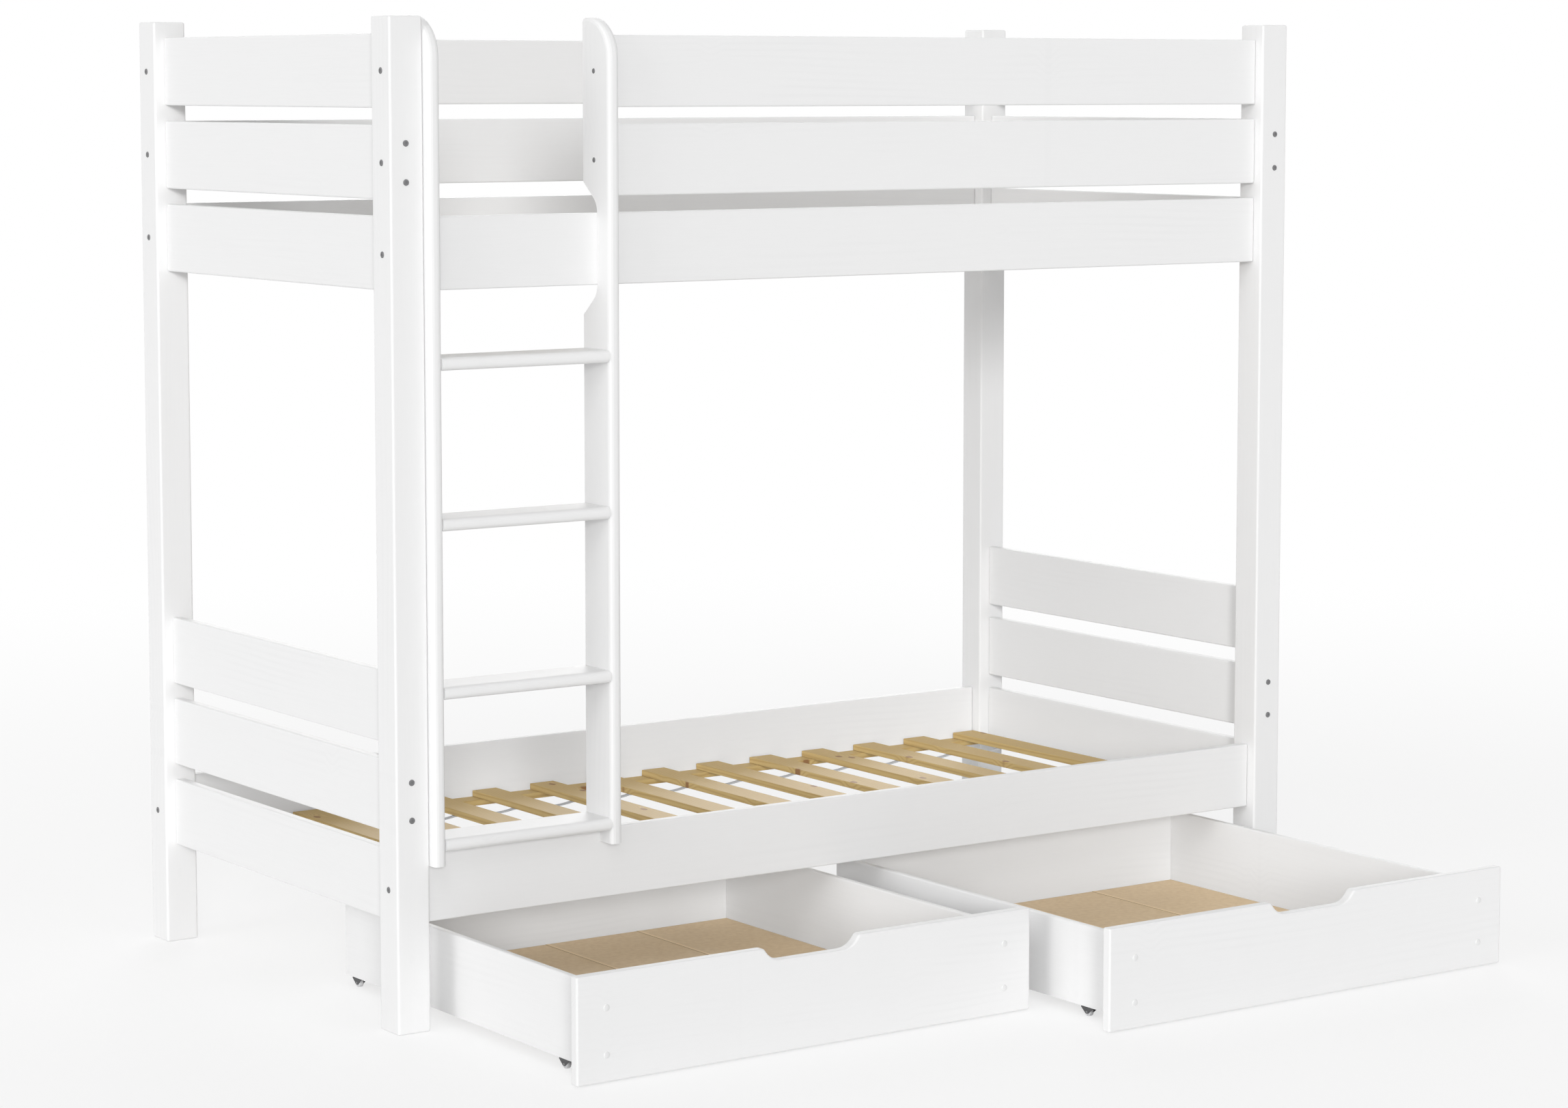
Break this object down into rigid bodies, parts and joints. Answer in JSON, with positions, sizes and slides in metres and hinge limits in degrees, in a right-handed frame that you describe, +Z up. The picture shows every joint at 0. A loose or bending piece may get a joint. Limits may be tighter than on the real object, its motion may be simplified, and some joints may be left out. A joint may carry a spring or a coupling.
{
  "type": "bunk bed with drawers",
  "caption": "White lacquered wooden bunk bed with a front ladder, boarded ends and guard boards, slatted pine bases and wide roll-out drawers on small castors underneath.",
  "frame": {"origin": "on the floor, at the middle of the footprint with both drawers pulled out as modelled", "axes": "+X along the bed to the right, seen from the ladder side; +Y towards the back; +Z up"},
  "size_m": [2.082, 1.699, 1.802],
  "materials": {
    "white_lacquer": "white lacquer, satin, with faint grain",
    "natural_pine": "untreated pine with knots",
    "webbing": "woven grey-white tape",
    "hardboard": "smooth tan hardboard",
    "castor_steel": "dark grey pressed steel",
    "castor_wheel": "light grey plastic",
    "bolt_steel": "zinc-plated steel",
    "screw_plug": "white plastic"
  },
  "bodies": {
    "bed_frame": {"post_front_left": "white_lacquer", "post_front_right": "white_lacquer", "post_rear_left": "white_lacquer", "post_rear_right": "white_lacquer", "end_board_left_lower_1": "white_lacquer", "end_board_left_lower_2": "white_lacquer", "end_board_left_lower_3": "white_lacquer", "end_board_left_upper_1": "white_lacquer", "end_board_left_upper_2": "white_lacquer", "end_board_left_upper_3": "white_lacquer", "end_board_right_lower_1": "white_lacquer", "end_board_right_lower_2": "white_lacquer", "end_board_right_lower_3": "white_lacquer", "end_board_right_upper_1": "white_lacquer", "end_board_right_upper_2": "white_lacquer", "end_board_right_upper_3": "white_lacquer", "side_rail_front_lower": "white_lacquer", "side_rail_front_upper": "white_lacquer", "side_rail_rear_lower": "white_lacquer", "side_rail_rear_upper": "white_lacquer", "guard_board_front_1": "white_lacquer", "guard_board_front_2": "white_lacquer", "guard_board_rear_1": "white_lacquer", "guard_board_rear_2": "white_lacquer", "slat_base_lower": "natural_pine", "slat_base_upper": "natural_pine", "ladder_stringer_left": "white_lacquer", "ladder_stringer_right": "white_lacquer", "ladder_rung_1": "white_lacquer", "ladder_rung_2": "white_lacquer", "ladder_rung_3": "white_lacquer", "ladder_rung_4": "white_lacquer"},
    "left_drawer": {"left_drawer_front": "white_lacquer", "left_drawer_side_left": "white_lacquer", "left_drawer_side_right": "white_lacquer", "left_drawer_back": "white_lacquer", "left_drawer_floor": "hardboard", "left_drawer_fork_front_left": "castor_steel", "left_drawer_fork_front_right": "castor_steel", "left_drawer_fork_rear_left": "castor_steel", "left_drawer_fork_rear_right": "castor_steel"},
    "right_drawer": {"right_drawer_front": "white_lacquer", "right_drawer_side_left": "white_lacquer", "right_drawer_side_right": "white_lacquer", "right_drawer_back": "white_lacquer", "right_drawer_floor": "hardboard", "right_drawer_fork_front_left": "castor_steel", "right_drawer_fork_front_right": "castor_steel", "right_drawer_fork_rear_left": "castor_steel", "right_drawer_fork_rear_right": "castor_steel"},
    "left_castor_front_left": {"left_drawer_wheel_front_left": "castor_wheel"},
    "left_castor_front_right": {"left_drawer_wheel_front_right": "castor_wheel"},
    "left_castor_rear_left": {"left_drawer_wheel_rear_left": "castor_wheel"},
    "left_castor_rear_right": {"left_drawer_wheel_rear_right": "castor_wheel"},
    "right_castor_front_left": {"right_drawer_wheel_front_left": "castor_wheel"},
    "right_castor_front_right": {"right_drawer_wheel_front_right": "castor_wheel"},
    "right_castor_rear_left": {"right_drawer_wheel_rear_left": "castor_wheel"},
    "right_castor_rear_right": {"right_drawer_wheel_rear_right": "castor_wheel"}
  },
  "joints": [
    {"name": "left_drawer_slide", "type": "slide", "parent": "bed_frame", "child": "left_drawer", "axis": [0, -1, 0], "range_m": [-0.508, 0.417]},
    {"name": "right_drawer_slide", "type": "slide", "parent": "bed_frame", "child": "right_drawer", "axis": [0, -1, 0], "range_m": [-0.73, 0.195]},
    {"name": "left_wheel_front_left", "type": "hinge", "parent": "left_drawer", "child": "left_castor_front_left", "pos_m": [-0.9135, -0.5005, 0.0078], "axis": [1, 0, 0], "continuous": true},
    {"name": "left_wheel_front_right", "type": "hinge", "parent": "left_drawer", "child": "left_castor_front_right", "pos_m": [-0.0605, -0.5005, 0.0078], "axis": [1, 0, 0], "continuous": true},
    {"name": "left_wheel_rear_left", "type": "hinge", "parent": "left_drawer", "child": "left_castor_rear_left", "pos_m": [-0.9135, 0.2355, 0.0078], "axis": [1, 0, 0], "continuous": true},
    {"name": "left_wheel_rear_right", "type": "hinge", "parent": "left_drawer", "child": "left_castor_rear_right", "pos_m": [-0.0605, 0.2355, 0.0078], "axis": [1, 0, 0], "continuous": true},
    {"name": "right_wheel_front_left", "type": "hinge", "parent": "right_drawer", "child": "right_castor_front_left", "pos_m": [0.0605, -0.7225, 0.0078], "axis": [1, 0, 0], "continuous": true},
    {"name": "right_wheel_front_right", "type": "hinge", "parent": "right_drawer", "child": "right_castor_front_right", "pos_m": [0.9135, -0.7225, 0.0078], "axis": [1, 0, 0], "continuous": true},
    {"name": "right_wheel_rear_left", "type": "hinge", "parent": "right_drawer", "child": "right_castor_rear_left", "pos_m": [0.0605, 0.0135, 0.0078], "axis": [1, 0, 0], "continuous": true},
    {"name": "right_wheel_rear_right", "type": "hinge", "parent": "right_drawer", "child": "right_castor_rear_right", "pos_m": [0.9135, 0.0135, 0.0078], "axis": [1, 0, 0], "continuous": true}
  ],
  "couplings": [
    {"joint": "left_wheel_front_left", "follows": "left_drawer_slide", "rad_per_m": 128.21},
    {"joint": "left_wheel_front_right", "follows": "left_drawer_slide", "rad_per_m": 128.21},
    {"joint": "left_wheel_rear_left", "follows": "left_drawer_slide", "rad_per_m": 128.21},
    {"joint": "left_wheel_rear_right", "follows": "left_drawer_slide", "rad_per_m": 128.21},
    {"joint": "right_wheel_front_left", "follows": "right_drawer_slide", "rad_per_m": 128.21},
    {"joint": "right_wheel_front_right", "follows": "right_drawer_slide", "rad_per_m": 128.21},
    {"joint": "right_wheel_rear_left", "follows": "right_drawer_slide", "rad_per_m": 128.21},
    {"joint": "right_wheel_rear_right", "follows": "right_drawer_slide", "rad_per_m": 128.21}
  ]
}
